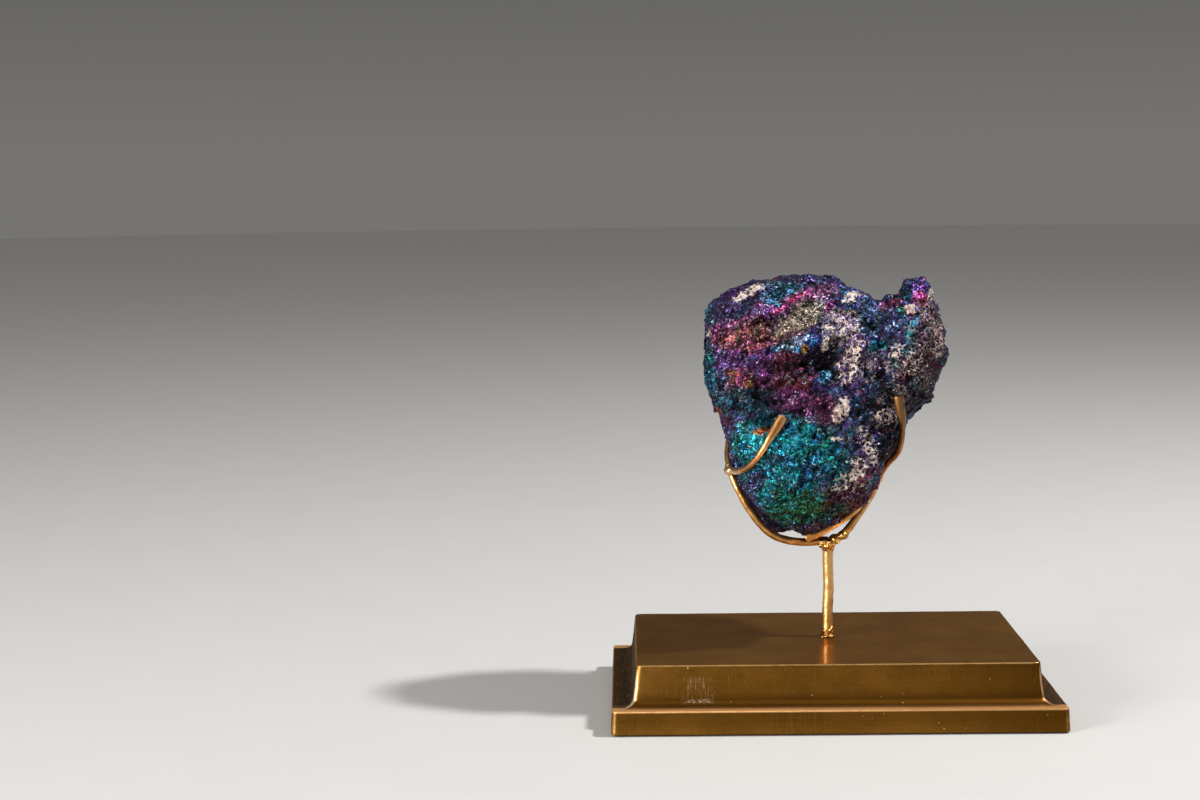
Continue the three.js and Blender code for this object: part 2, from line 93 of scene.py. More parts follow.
def select_in(kind, wanted):
    """In edit mode, selects those edges or verts of the mesh for which wanted(it) holds."""
    mesh = bpy.context.edit_object.data
    shape = bmesh.from_edit_mesh(mesh)
    bpy.ops.mesh.select_all(action="DESELECT")
    for item in getattr(shape, kind):
        item.select_set(bool(wanted(item)))
    bmesh.update_edit_mesh(mesh)


def apply_modifier(piece, kind, **settings):
    modifier = piece.modifiers.new(kind, kind)
    for name, value in settings.items():
        setattr(modifier, name, value)
    bpy.ops.object.modifier_apply(modifier=modifier.name)


def roughen(piece, size, depth, detail=1, group="", turn=0, stretch=1):
    """Raises and sinks the surface by up to half of depth, in clouds of the given size. The clouds
    can be turned in the XZ plane and stretched that way, and kept to a vertex group."""
    clouds = bpy.data.textures.new("clouds", "CLOUDS")
    clouds.noise_scale = size
    clouds.noise_depth = detail
    guide = bpy.data.objects.new("guide", None)
    bpy.context.scene.collection.objects.link(guide)
    guide.rotation_euler = (0, -turn, 0)
    guide.scale = (stretch, 1, 1)
    bpy.context.view_layer.update()
    apply_modifier(piece, "DISPLACE", texture=clouds, texture_coords="OBJECT",
                   texture_coords_object=guide, strength=depth, mid_level=0.5, vertex_group=group)
    bpy.data.objects.remove(guide)
    bpy.data.textures.remove(clouds)


def finish_piece(piece, finish, nodes):
    """Gives a piece its material and its place in the frame."""
    piece.data.materials.clear()
    piece.data.materials.append(finish.material)
    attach(piece, "root")
    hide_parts(*nodes)


def extrude_ring(low, high):
    """Extrudes the selected top face from one point of SECTION to the next."""
    bpy.ops.mesh.extrude_region_move(
        TRANSFORM_OT_translate={"value": (0, 0, (high[1] - low[1]) * MM)})
    grow = [(half + high[0] * MM) / (half + low[0] * MM) for half in (HALF_WIDTH, HALF_DEPTH)]
    bpy.ops.transform.resize(value=(*grow, 1), center_override=(0, 0, high[1] * MM))


deselect()
bpy.ops.mesh.primitive_plane_add(size=2)
base = start_piece("base_casting")
bpy.ops.object.mode_set(mode="EDIT")
foot_half = [half + SECTION[0][0] * MM for half in (HALF_WIDTH, HALF_DEPTH)]
bpy.ops.transform.resize(value=(*foot_half, 1))
bpy.ops.transform.translate(value=(0, 0, SECTION[0][1] * MM))
for low, high in zip(SECTION, SECTION[1:]):
    extrude_ring(low, high)
bpy.ops.mesh.select_all(action="SELECT")
bpy.ops.mesh.normals_make_consistent(inside=False)


def is_upright(edge):
    a, b = (v.co for v in edge.verts)
    return a.x * b.x > 0 and a.y * b.y > 0 and abs(a.z - b.z) > 1e-6


select_in("edges", is_upright)
bpy.ops.mesh.bevel(offset=CORNER, segments=6)
bpy.ops.object.mode_set(mode="OBJECT")
apply_modifier(base, "BEVEL", width=WORN_EDGE, segments=3, limit_method="ANGLE", angle_limit=0.6)

# Cuts across the casting give its faces enough points to carry the slight waves of hand grinding.
bpy.ops.object.mode_set(mode="EDIT")
for axis, reach in enumerate(base_high):
    normal = [float(i == axis) for i in range(3)]
    for step in range(int(-reach / CUT_STEP) - 1, int(reach / CUT_STEP) + 1):
        bpy.ops.mesh.select_all(action="SELECT")
        bpy.ops.mesh.bisect(plane_co=[n * (step + 0.5) * CUT_STEP for n in normal], plane_no=normal)
bpy.ops.object.mode_set(mode="OBJECT")
roughen(base, size=30 * MM, depth=0.28 * MM)
roughen(base, size=9 * MM, depth=0.07 * MM)
bpy.ops.object.shade_smooth_by_angle(angle=math.radians(35))


class Socket:
    """A node's output. Arithmetic on it adds Math nodes to its material."""

    def __init__(self, finish, link):
        self.finish = finish
        self.link = link

    def math(self, operation, *values, clamp=False):
        settings = {"operation": operation, "use_clamp": clamp}
        return self.finish.node("Math", settings, values)

    def __add__(self, other):
        return self.math("ADD", self, other)

    def __sub__(self, other):
        return self.math("SUBTRACT", self, other)

    def __rsub__(self, other):
        return self.math("SUBTRACT", other, self)

    def __mul__(self, other):
        return self.math("MULTIPLY", self, other)

    def __pow__(self, other):
        return self.math("POWER", self, other)

    __radd__ = __add__
    __rmul__ = __mul__

    def size(self):
        return self.math("ABSOLUTE", self)

    def clip(self):
        return self.math("ADD", self, 0, clamp=True)

    def or_more(self, other):
        return self.math("MAXIMUM", self, other)

    def rise(self, low, high):
        """0 below low and 1 above high, with a smooth step between. It falls where high < low."""
        settings = {"interpolation_type": "SMOOTHSTEP"}
        return self.finish.node("MapRange", settings, [self, low, high, 0, 1])


def paint(code):
    """A linear colour from a code such as b5762e."""
    shares = [int(code[i:i + 2], 16) / 255 for i in (0, 2, 4)]
    linear = [s / 12.92 if s <= 0.04045 else ((s + 0.055) / 1.055) ** 2.4 for s in shares]
    return (*linear, 1)


class Finish:
    """A material while it is being made."""

    def __init__(self, name, **constants):
        self.material = bpy.data.materials.new(name)
        self.material.use_nodes = True
        self.tree = self.material.node_tree
        self.shader = self.tree.nodes["Principled BSDF"]
        for socket, value in constants.items():
            self.shader.inputs[socket.replace("_", " ")].default_value = value
        position = self.node("TexCoord", {}, [], output="Object")
        self.mm = self.vector("SCALE", position, scale=1 / MM)  # places in millimetres
        self.x, self.y, self.z = self.parts(self.mm)

    def node(self, kind, settings, sockets, output=0):
        """Adds a node with these settings and these values or links of its sockets."""
        node = self.tree.nodes.new("ShaderNode" + kind)
        for name, value in settings.items():
            if name == "stops":
                self.set_stops(node.color_ramp, value)
            else:
                setattr(node, name, value)
        pairs = sockets.items() if isinstance(sockets, dict) else enumerate(sockets)
        for key, value in pairs:
            if isinstance(value, Socket):
                self.tree.links.new(value.link, node.inputs[key])
            else:
                node.inputs[key].default_value = value
        return Socket(self, node.outputs[output])

    @staticmethod
    def set_stops(ramp, stops):
        while len(ramp.elements) < len(stops):
            ramp.elements.new(1)
        for element, (place, colour) in zip(ramp.elements, stops):
            element.position = place
            element.color = colour

    def vector(self, operation, *values, scale=None):
        sockets = dict(enumerate(values))
        if scale is not None:
            sockets["Scale"] = scale
        output = "Value" if operation in ("LENGTH", "DOT_PRODUCT", "DISTANCE") else "Vector"
        return self.node("VectorMath", {"operation": operation}, sockets, output=output)

    def parts(self, vector):
        return [self.node("SeparateXYZ", {}, [vector], output=i) for i in range(3)]

    def mix(self, share, low, high, blend="MIX"):
        settings = {"data_type": "RGBA", "blend_type": blend}
        return self.node("Mix", settings, {0: share, 6: low, 7: high}, output=2)

    def attribute(self, name, output="Fac"):
        return self.node("Attribute", {"attribute_name": name}, [], output=output)

    def noise(self, size, detail=2, roughness=0.5, stretch=(1, 1, 1), output=0, at=None):
        """Cloudy noise around 0.5 with lumps of the given size in mm."""
        place = self.node("Mapping", {}, {0: at or self.mm, 3: [1 / (size * s) for s in stretch]})
        return self.node("TexNoise", {}, {"Vector": place, "Scale": 1, "Detail": detail,
                                          "Roughness": roughness}, output=output)

    def grains(self, size, output, at=None, feature="F1"):
        """Cells of the given size in mm: their Distance, Color or Position."""
        sockets = {"Vector": at or self.mm, "Scale": 1 / size}
        return self.node("TexVoronoi", {"feature": feature}, sockets, output=output)

    def bent(self, size, reach):
        """Places in mm, moved about by swirls of the given size."""
        swirls = self.vector("SUBTRACT", self.noise(size, detail=3, output=1), (0.5, 0.5, 0.5))
        return self.vector("ADD", self.mm, self.vector("SCALE", swirls, scale=reach))

    def bump(self, height, depth, normal=None):
        sockets = {"Strength": 1, "Distance": depth * MM, "Height": height}
        if normal:
            sockets["Normal"] = normal
        return self.node("Bump", {}, sockets)

    def wear(self, **links):
        """Feeds the shader's sockets of these names."""
        for socket, value in links.items():
            self.tree.links.new(value.link, self.shader.inputs[socket.replace("_", " ")])


def aged_brass():
    finish = Finish("aged_brass", Coat_Roughness=0.12, Specular_Tint=paint("c89a5c"))
    x, y, z = finish.x, finish.y, finish.z
    out_x = x.size() - HALF_WIDTH / MM
    out_y = y.size() - HALF_DEPTH / MM
    out = out_x.or_more(out_y)  # distance out from the upper plate's edge
    past_end = out_x - out_y.or_more(0)  # above 0 on the two ends alone
    above_tier = z.rise(LEDGE_TOP - 0.9, LEDGE_TOP - 0.5)
    in_front = (0 - y).rise(40, 50)

    clouds = finish.noise(26, detail=4, roughness=0.6)
    blotches = finish.noise(7, detail=3, roughness=0.65)
    brushing = finish.noise(1, detail=3, roughness=0.75, stretch=(46, 0.4, 0.4))
    rubs = finish.noise(1, detail=3, roughness=0.7, stretch=(0.5, 9, 9))  # across the brushing
    patchy = clouds.rise(0.35, 0.68)
    colour = finish.mix(patchy, paint("644312"), paint("76501b"))
    colour = finish.mix(blotches.rise(0.52, 0.78) * 0.4, colour, paint("4e330c"))
    specks = finish.noise(0.7, detail=2, roughness=0.7)
    colour = finish.mix(specks.rise(0.58, 0.72) * blotches.rise(0.4, 0.6) * 0.42, colour, paint("b08850"))
    colour = finish.mix(brushing.rise(0.42, 0.68) * 0.32, colour, paint("8a5f28"))
    colour = finish.mix((rubs * (1.2 - clouds)).rise(0.4, 0.52) * 0.34, colour, paint("9a6e34"))
    # The front is painted paler towards its left end, a painted reflection, and browner towards its
    # right.
    colour = finish.mix(x.rise(-66, -100) * z.rise(8, 13) * 0.3, colour, paint("ad7c3c"))
    colour = finish.mix(x.rise(20, 100) * 0.6, colour, paint("4a2e05"))
    # The lower tier is painted browner under its lip, a painted shade.
    colour = finish.mix(out.rise(9, 10.5) * z.rise(2, 8) * 0.4, colour, paint("4a2e08"))

    # The plate's top is a duller brown, painted lighter as a painted light on its upward face.
    # The hollow foot is a darker, redder brown, a painted shade, and its ledge a paler red-brown, a
    # painted light.
    on_top = z.rise(PLATE_TOP - 0.5, PLATE_TOP - 0.2)
    top = finish.mix(patchy, paint("a67739"), paint("b08245"))
    top = finish.mix(brushing.rise(0.35, 0.7) * 0.3, top, paint("c29552"))
    colour = finish.mix(on_top * 0.9, colour, top)
    in_cove = out.rise(1.2, 2.2) * above_tier
    colour = finish.mix(in_cove * 0.9, colour, paint("4c2f0a"))
    on_ledge = out.rise(3.6, 8.5) * above_tier
    colour = finish.mix(on_ledge * 0.95, colour, paint("bc8a58"))

    # Edges that hands and polishing have worn bright, with painted highlights on the upright corners and
    # on the lip towards its left end, and painted shade on the lip towards its right end.
    def edge(at_out, at_z):
        distance = ((out - at_out) ** 2 + (z - at_z) ** 2) ** 0.5
        return distance.rise(0.95, 0.25)

    uneven = finish.noise(5, detail=2)
    lip = edge(LEDGE, LEDGE_TOP)
    wear_and_highlight = edge(0, PLATE_TOP).or_more(lip)
    upright = (out_x - out_y).size().rise(1.5, 0.5) * out.rise(8.0, 6.0) * z.rise(11.0, 11.8)
    upright = upright * out_y.rise(-0.9, -0.3) * out_x.rise(-0.9, -0.3)
    corner_foot = ((out_x - 11.2).size() + (out_y - 11.2).size()).rise(2.6, 1.0)
    corner_foot = corner_foot * z.rise(12.0, 11.0)
    at_end = past_end.rise(0.6, 2.2) * z.rise(9.0, 10.5)
    wear_and_highlight = (wear_and_highlight * (1 - at_end * 0.85)).or_more(upright).or_more(corner_foot * 0.6)
    wear_and_highlight = wear_and_highlight * uneven.rise(0.25, 0.6)
    lip = lip * (1 - at_end)
    colour = finish.mix(wear_and_highlight * (0.45 + lip * x.rise(20, -90) * 0.4), colour, paint("dcae72"))
    colour = finish.mix(lip * x.rise(-50, 70) * 0.62, colour, paint("6e4a22"))
    colour = finish.mix(upright * x.rise(0, -80) * 0.7, colour, paint("f6dfb4"))
    colour = finish.mix(upright * x.rise(0, 80) * 0.6, colour, paint("e8b48c"))

    # The two ends above the lower tier are matt and streaked, and painted dark: a painted reflection.
    streaks = finish.noise(1.6, detail=4, roughness=0.7, stretch=(1, 6, 1))
    end_faces = past_end.rise(0.05, 0.35) * out_y.rise(4.6, 3.8)
    end_faces = end_faces * z.rise(LEDGE_TOP - 0.7, LEDGE_TOP - 0.3) * z.rise(PLATE_TOP - 0.4, PLATE_TOP - 0.9)
    end_faces = end_faces * (1 - wear_and_highlight)
    dark = finish.mix(streaks.rise(0.35, 0.75), paint("0e0a08"), paint("3a2b1e"))
    colour = finish.mix(end_faces * 0.95, colour, dark)

    # A scuffed patch on the front wall, with short upright scratches that end in a ragged foot.
    scratches = finish.noise(1, detail=2, roughness=0.8, stretch=(0.32, 1, 14))
    patch = (x + 62.5).size().rise(8.5, 6.0) * (z - 18.5).size().rise(6.5, 4.5) * in_front
    scuffs = patch * scratches.rise(0.56, 0.66)
    smear = finish.noise(1.1, detail=3, roughness=0.8)
    foot = (x + 62).size().rise(7.0, 5.0) * (z - 13.8).size().rise(1.1, 0.5)
    foot = foot * smear.rise(0.48, 0.6) * in_front
    colour = finish.mix((scuffs * 0.3 + foot * 0.45).clip(), colour, paint("e0c498"))

    # Casting pits: a few in groups, and more of them low on the front and on the ends.
    pit_spacing = 2.4
    near = finish.grains(pit_spacing, "Distance")
    pick = finish.parts(finish.grains(pit_spacing, "Color"))[0]
    group = finish.vector("DISTANCE", finish.mm, (30.0, -4.0, PLATE_TOP)).rise(17, 9)
    low_front = (0 - y).rise(60, 64) * z.rise(10, 7) * finish.noise(12, detail=1).rise(0.42, 0.6)
    strays = finish.noise(22, detail=1).rise(0.5, 0.62) * 0.35
    where = (group * 0.75 + low_front * 0.4 + strays + end_faces * 0.6).clip()
    pits = near.rise(0.19, 0.08) * (pick + where * 0.32).rise(0.96, 1.0)
    colour = finish.mix(pits * 0.5, colour, paint("e0bd84"))

    shine = 0.36 + clouds * 0.1 + brushing * 0.05 + end_faces * 0.3 - wear_and_highlight * 0.08 + scuffs * 0.15
    shine = shine - on_top * 0.13 + on_ledge * 0.05 + lip * x.rise(-80, 40) * 0.15
    height = brushing * 0.16 + finish.noise(1.3, detail=3) * 0.12 - pits * 1.0 + streaks * end_faces * 0.8
    dull = (end_faces * 0.55).or_more(on_ledge * 0.36).or_more(lip * x.rise(50, -70) * 0.4)
    finish.wear(Base_Color=colour, Roughness=shine.clip(), Coat_Weight=on_top * 0.3,
                Metallic=0.92 - dull, Normal=finish.bump(height, 0.09))
    return finish


finish_piece(base, aged_brass(), ["base"])


# ---- The felt ----
# A thin dark felt, cut to the base's underside and glued there so that the brass can't scratch.

FELT_INSET = 1.5 * MM
FELT_THICK = UNDERSIDE * MM


def dark_felt():
    finish = Finish("dark_felt", Roughness=1.0, Sheen_Weight=0.4)
    fibres = finish.noise(0.5, detail=4, roughness=0.8, stretch=(3, 1, 1))
    crossed = finish.noise(0.6, detail=4, roughness=0.8, stretch=(1, 3, 1))
    dust = finish.noise(6, detail=3).rise(0.55, 0.8)
    lint = (fibres * crossed).rise(0.22, 0.4)
    colour = finish.mix(lint * 0.6, paint("14110e"), paint("3a342c"))
    colour = finish.mix(dust * 0.25, colour, paint("4d463c"))
    finish.wear(Base_Color=colour, Normal=finish.bump(fibres + crossed, 0.25))
    return finish


deselect()
felt_half = [base_high.x - FELT_INSET, base_high.y - FELT_INSET]
bpy.ops.mesh.primitive_grid_add(x_subdivisions=66, y_subdivisions=43, size=2)
felt = start_piece("felt")
bpy.ops.object.mode_set(mode="EDIT")
bpy.ops.transform.resize(value=(*felt_half, 1))
bpy.ops.transform.translate(value=(0, 0, FELT_THICK))
select_in("verts", lambda vert: vert.is_boundary)
bpy.ops.transform.vertex_random(offset=0.25 * MM, seed=3)
bpy.ops.object.mode_set(mode="OBJECT")
apply_modifier(felt, "SOLIDIFY", thickness=FELT_THICK, offset=-1)
bpy.ops.object.shade_smooth_by_angle(angle=math.radians(40))
finish_piece(felt, dark_felt(), ["felt_pad"])


# ---- The stem and the claws ----
# Hand-bent brass rods: a 5 mm upright, and 4 mm arms drawn out to under 3 mm, whose ends were
# hammered into flat paddles that lie on the stone. They keep the marks of the hammer and pliers.

STEM_RADIUS = 2.5 * MM
ARM_RADIUS = 1.75 * MM  # halfway along
CLAW_RADIUS = 1.5 * MM
SHARP = 0.95  # radians between two faces
CREASE = 0.75


def copy_solid(node, name):
    """A copy of the node's plain solid in one skin, as the only selected object."""
    deselect()
    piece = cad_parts[node].copy()
    piece.data = piece.data.copy()
    piece.parent = None
    for key in list(piece.keys()):
        del piece[key]
    bpy.context.scene.collection.objects.link(piece)
    piece.hide_render = False
    bpy.context.view_layer.objects.active = piece
    piece.select_set(True)
    piece.name = piece.data.name = name
    bpy.ops.object.mode_set(mode="EDIT")
    bpy.ops.mesh.select_all(action="SELECT")
    bpy.ops.mesh.remove_doubles(threshold=0.01 * MM)
    bpy.ops.object.mode_set(mode="OBJECT")
    return piece


def drawn_brass():
    finish = Finish("drawn_brass", Metallic=1.0, Coat_Weight=0.6, Coat_Roughness=0.14)
    clouds = finish.noise(6, detail=4, roughness=0.6)
    fine = finish.noise(1.1, detail=3, roughness=0.7)
    colour = finish.mix(clouds.rise(0.35, 0.7), paint("ab7432"), paint("d5a15e"))
    colour = finish.mix(fine.rise(0.55, 0.75) * 0.35, colour, paint("7a4a1c"))
    # The claws are redder than the arms, and the stem is painted yellower and paler, a painted highlight.
    colour = finish.mix(finish.z.rise(100, 112) * 0.4, colour, paint("c48c5e"))
    colour = finish.mix(finish.z.rise(76, 70) * 0.5, colour, paint("e6c07c"))
    # The right arm's claws are painted darker, a painted shade.
    dull = finish.x.rise(24, 31) * finish.z.rise(112, 128)
    colour = finish.mix(dull * 0.9, colour, paint("56390c"))
    # Reddish heat marks round the joint above the stem.
    hot = finish.vector("DISTANCE", finish.mm, (0.0, 0.0, 73.0)).rise(16, 5)
    colour = finish.mix(hot * clouds.rise(0.4, 0.6) * 0.5, colour, paint("a9602a"))
    finish.wear(Base_Color=colour, Roughness=(0.27 + fine * 0.16 + clouds * 0.08).clip(),
                Normal=finish.bump(fine + clouds * 2, 0.06))
    return finish


def is_sharp(edge):
    return len(edge.link_faces) == 2 and edge.calc_face_angle() > SHARP


def make_rod(node, name, radius, sides):
    """The rod's solid made round, with crisp cut ends and slight dents."""
    rod = copy_solid(node, name)
    bpy.ops.object.mode_set(mode="EDIT")
    bpy.ops.mesh.tris_convert_to_quads(face_threshold=0.7, shape_threshold=0.7)
    # Subdividing pulls a ring in by this much, so the ring is made wider first.
    pulled_in = 1 - (2 + math.cos(2 * math.pi / sides)) / 3
    bpy.ops.mesh.select_all(action="SELECT")
    bpy.ops.transform.shrink_fatten(value=radius * pulled_in)
    select_in("edges", is_sharp)
    bpy.ops.transform.edge_crease(value=CREASE)
    bpy.ops.object.mode_set(mode="OBJECT")
    apply_modifier(rod, "SUBSURF", levels=3)
    roughen(rod, size=3.2 * MM, depth=0.3 * MM)
    roughen(rod, size=0.9 * MM, depth=0.07 * MM)
    bpy.ops.object.shade_smooth_by_angle(angle=math.radians(50))
    return rod


# Each rod's node, as its piece's name, radius and number of sides.
RODS = {
    "stem": ("upright_rod", STEM_RADIUS, 12),
    "left_arm": ("left_arm_rod", ARM_RADIUS, 8),
    "left_front_claw": ("left_front_claw_rod", CLAW_RADIUS, 8),
    "right_arm": ("right_arm_rod", ARM_RADIUS, 8),
    "right_back_claw": ("right_back_claw_rod", CLAW_RADIUS, 8),
    "foot_rest": ("foot_rest_rod", ARM_RADIUS, 8),
}
brass = drawn_brass()
rods = []
for node, (name, radius, sides) in RODS.items():
    rod = make_rod(node, name, radius, sides)
    finish_piece(rod, brass, [node])
    rods.append(rod)


# ---- The braze ----
# Pale brazing metal, run in with a torch where rods meet and left rough: a lumpy gob at the top of
# the stem, a small collar at its foot and a bead at each fork.


def brazing_metal():
    finish = Finish("brazing_metal", Metallic=1.0)
    clouds = finish.noise(2.2, detail=4, roughness=0.65)
    colour = finish.mix(clouds.rise(0.4, 0.66), paint("9a6a2c"), paint("e8ba74"))
    # The beads high up on the arms are painted paler, a painted highlight.
    bright = finish.z.rise(84, 96)
    colour = finish.mix(bright * 0.75, colour, paint("f0cf9c"))
    soot = finish.noise(1.4, detail=3, roughness=0.8)
    colour = finish.mix(soot.rise(0.52, 0.68) * (0.8 - bright * 0.5), colour, paint("3a200a"))
    finish.wear(Base_Color=colour, Roughness=(0.12 + soot * 0.3).clip(),
                Normal=finish.bump(clouds * 2 + soot, 0.2))
    return finish


# Each joint's node and its lumps, as [place, radii] in mm.
JOINTS = {
    "crotch_braze": [
        [(0.3, 0, 73.4), (3.4, 3.2, 2.7)],
        [(-1.4, 0, 75.1), (3.7, 3.2, 2.3)],
        [(3.6, -0.4, 76.3), (3.0, 2.9, 2.4)],
        [(7.3, -0.3, 78.1), (2.6, 2.5, 2.2)],
        [(1.4, -2.5, 74.6), (1.9, 1.5, 1.9)],
        [(-2.9, -2.0, 73.6), (1.4, 1.3, 1.3)],
        [(0.3, 0.1, 71.3), (2.8, 2.75, 1.7)],
    ],
    "stem_foot_braze": [
        [(0.3, 0, 30.3), (3.1, 3.1, 1.0)],
        [(0.3, 0, 32.4), (2.85, 2.85, 2.6)],
        [(2.4, -1.5, 30.2), (1.2, 1.2, 0.6)],
        [(-2.2, -1.7, 30.1), (1.1, 1.1, 0.5)],
        [(2.0, -1.4, 33.6), (0.9, 1.1, 2.0)],
        [(-1.7, 1.9, 30.8), (1.6, 1.6, 1.2)],
    ],
    "left_fork_braze": [
        [(-45.7, -3.3, 109.5), (2.5, 2.5, 2.4)],
        [(-45.3, -5.4, 109.8), (2.1, 2.1, 2.0)],
        [(-45.9, -1.9, 111.0), (1.9, 1.9, 1.9)],
    ],
    "right_fork_braze": [
        [(24.1, 3.4, 104.5), (2.5, 2.5, 2.5)],
        [(24.6, 4.9, 105.2), (2.0, 2.0, 2.0)],
    ],
    "foot_rest_braze": [
        [(17.2, 0.6, 94.3), (2.7, 2.8, 2.7)],
        [(18.2, 1.8, 94.6), (2.1, 2.2, 2.1)],
    ],
}


def make_braze(name, lumps):
    """Lumps melted into one drop-like body."""
    deselect()
    beads = []
    for place, radii in lumps:
        bpy.ops.mesh.primitive_ico_sphere_add(subdivisions=4, radius=1)
        bead = bpy.context.object
        bpy.ops.object.mode_set(mode="EDIT")
        bpy.ops.transform.resize(value=[r * MM for r in radii])
        bpy.ops.transform.translate(value=[p * MM for p in place])
        bpy.ops.object.mode_set(mode="OBJECT")
        beads.append(bead)
    for bead in beads:
        bead.select_set(True)
    bpy.ops.object.join()
    braze = start_piece(name)
    apply_modifier(braze, "REMESH", mode="VOXEL", voxel_size=0.22 * MM)
    apply_modifier(braze, "SMOOTH", iterations=4)
    roughen(braze, size=1.2 * MM, depth=0.55 * MM, detail=2)
    bpy.ops.object.shade_smooth()
    return braze


torched = brazing_metal()
for node, lumps in JOINTS.items():
    finish_piece(make_braze(node + "_metal", lumps), torched, [node])


# ---- The stone ----
# One natural lump of tarnished copper ore: a mosaic of small metallic grains in turquoise, blue,
# purple and magenta, broken along ledges, with a dull pale crust that was never cleaned off.

STONE_CENTRE = Vector((-1, 0, 140)) * MM
GRAIN = 0.74 * MM  # the mesh's own spacing
STRATA = math.radians(30)  # the layers that the ore broke along rise to the right
along_layers = Vector((math.cos(STRATA), 0, math.sin(STRATA)))
across_layers = Vector((-math.sin(STRATA), 0.3, math.cos(STRATA))).normalized()
squeeze = Matrix.Scale(0.6, 3, along_layers)  # makes grains longer along the layers
CLEAR = 0.35 * MM  # kept between the stone and a rod
FULL_RELIEF = 3 * MM  # away from a rod the relief is at its full height
ROD_REACH = 8 * MM  # farther away no rod is looked for
LAYER_HEIGHT = 8.5 * MM
LAYER_DEPTH = 1.3 * MM


def normals_of(piece):
    return [point.normal.copy() for point in piece.data.vertices]


def tree_of(places):
    """A tree that finds the nearest of these places."""
    tree = KDTree(len(places))
    for i, place in enumerate(places):
        tree.insert(place, i)
    tree.balance()
    return tree


def break_into_grains(piece, size, tilt, lift, seed):
    """Breaks the surface into flat grains that are long along the layers, each with a slope of its
    own. They meet in ridges on one stretch of the stone and in grooves on the next."""
    dice = random.Random(seed)
    points = piece.data.vertices
    spread = GRAIN ** 2 * len(points) / size ** 2
    chosen = dice.sample(range(len(points)), int(spread))
    tree = tree_of([squeeze @ points[index].co for index in chosen])
    slopes = [Vector([dice.uniform(-tilt, tilt) for _ in range(3)]) for _ in chosen]
    lifts = [dice.uniform(-lift, lift) for _ in chosen]
    middle = 0.35 * tilt * size  # the ridges' usual height, so that the stone keeps its size
    for point, normal, share in zip(points, normals_of(piece), freedom):
        planes = [slopes[i].dot(point.co - points[chosen[i]].co) + lifts[i]
                  for _, i, _ in tree.find_n(squeeze @ point.co, 4)]
        ridged = noise.noise(point.co / (4 * size) + Vector((seed, 0, 0))) > 0
        move = min(planes) + middle if ridged else max(planes) - middle
        point.co += normal * share * move


stone = copy_solid("stone", "ore")
apply_modifier(stone, "REMESH", mode="VOXEL", voxel_size=GRAIN)

# Places where the skin swells towards a rod or sinks, as [place from the stone's centre, reach each
# way, move] in mm.
SWELLS = [
    [(-37, 5, -47), (12, 14, 12), (-1.9, 0, -2.2)],
    [(-27, 5, -56), (12, 14, 9), (-0.8, 0, -2.0)],
    [(-22, 4, -57), (14, 14, 8), (-0.6, 0, -2.6)],
    [(-9.7, 2, -59), (5, 12, 6), (0, 0, -2.0)],
    [(-44, 3, -31), (9, 14, 12), (-2.2, 0, -0.5)],
    [(27.5, -2, -22.5), (9, 20, 9.5), (5.4, 0, 0)],
    [(22, -16, -44), (8, 18, 9), (-2.0, 0, 0.8)],
    [(33, 0, 55), (6.5, 40, 8), (0, 0, -4.4)],
    [(47, 0, 54), (5, 40, 5.5), (1.5, 0, 0)],
    [(45, 0, 58), (5, 40, 6), (0.3, 0, 2.6)],
    [(34.3, 0, 54), (4.2, 40, 7), (0, 0, -3.4)],
    [(54, 0, 43), (5, 40, 6), (-1.3, 0, 0)],
    [(-52, 0, 44), (7, 40, 7), (-0.8, 0, 1.6)],
    [(-1, -30, 21), (9, 14, 7), (0, 2.4, 0)],
]
for place, reach, move in SWELLS:
    for point in stone.data.vertices:
        away = (point.co - STONE_CENTRE) / MM - Vector(place)
        far = sum((a / r) ** 2 for a, r in zip(away, reach))
        if far < 1:
            point.co += Vector(move) * MM * (1 - far) ** 2

rod_solids = [BVHTree.FromObject(rod, bpy.context.evaluated_depsgraph_get()) for rod in rods]


def gap_to_rods(place):
    """Distance to the nearest rod's surface, negative inside it."""
    gaps = []
    for solid in rod_solids:
        nearest, normal, _, distance = solid.find_nearest(place, ROD_REACH)
        if nearest is not None:
            gaps.append(math.copysign(distance, (place - nearest).dot(normal)))
    return min(gaps, default=ROD_REACH)


def room_for_relief(point):
    """1 on the open faces, less on the rim, whose outline is true already, and near a rod."""
    gap = min(max(gap_to_rods(point.co) / FULL_RELIEF, 0.12), 1)
    return gap * min(0.7 + abs(point.normal.y), 1)


freedom = [room_for_relief(point) for point in stone.data.vertices]
free = stone.vertex_groups.new(name="free")
for index, share in enumerate(freedom):
    free.add([index], share, "REPLACE")


def break_along_layers(piece):
    """Steps the surface in steep little ledges with sloping treads."""
    for point, normal, share in zip(piece.data.vertices, normals_of(piece), freedom):
        level = point.co.dot(across_layers) / LAYER_HEIGHT + 1.3 * noise.noise(point.co / (17 * MM))
        within = 1 - level % 1
        tread = min(within / 0.8, (1 - within) / 0.2)
        broken = min(max(0.5 + 1.6 * noise.noise(point.co / (13 * MM) + Vector((7, 3, 5))), 0), 1)
        point.co += normal * (tread - 0.5) * LAYER_DEPTH * broken * share


def sink_pits(piece, count, size, depth, seed):
    """Small deep pits between the grains."""
    dice = random.Random(seed)
    points = piece.data.vertices
    tree = tree_of([points[dice.randrange(len(points))].co for _ in range(count)])
    for point, normal, share in zip(points, normals_of(piece), freedom):
        wide = size * (1 + 0.5 * noise.noise(point.co / (1.5 * MM)))
        near = max(1 - (tree.find(point.co)[2] / wide) ** 2, 0)
        point.co -= normal * depth * near * share


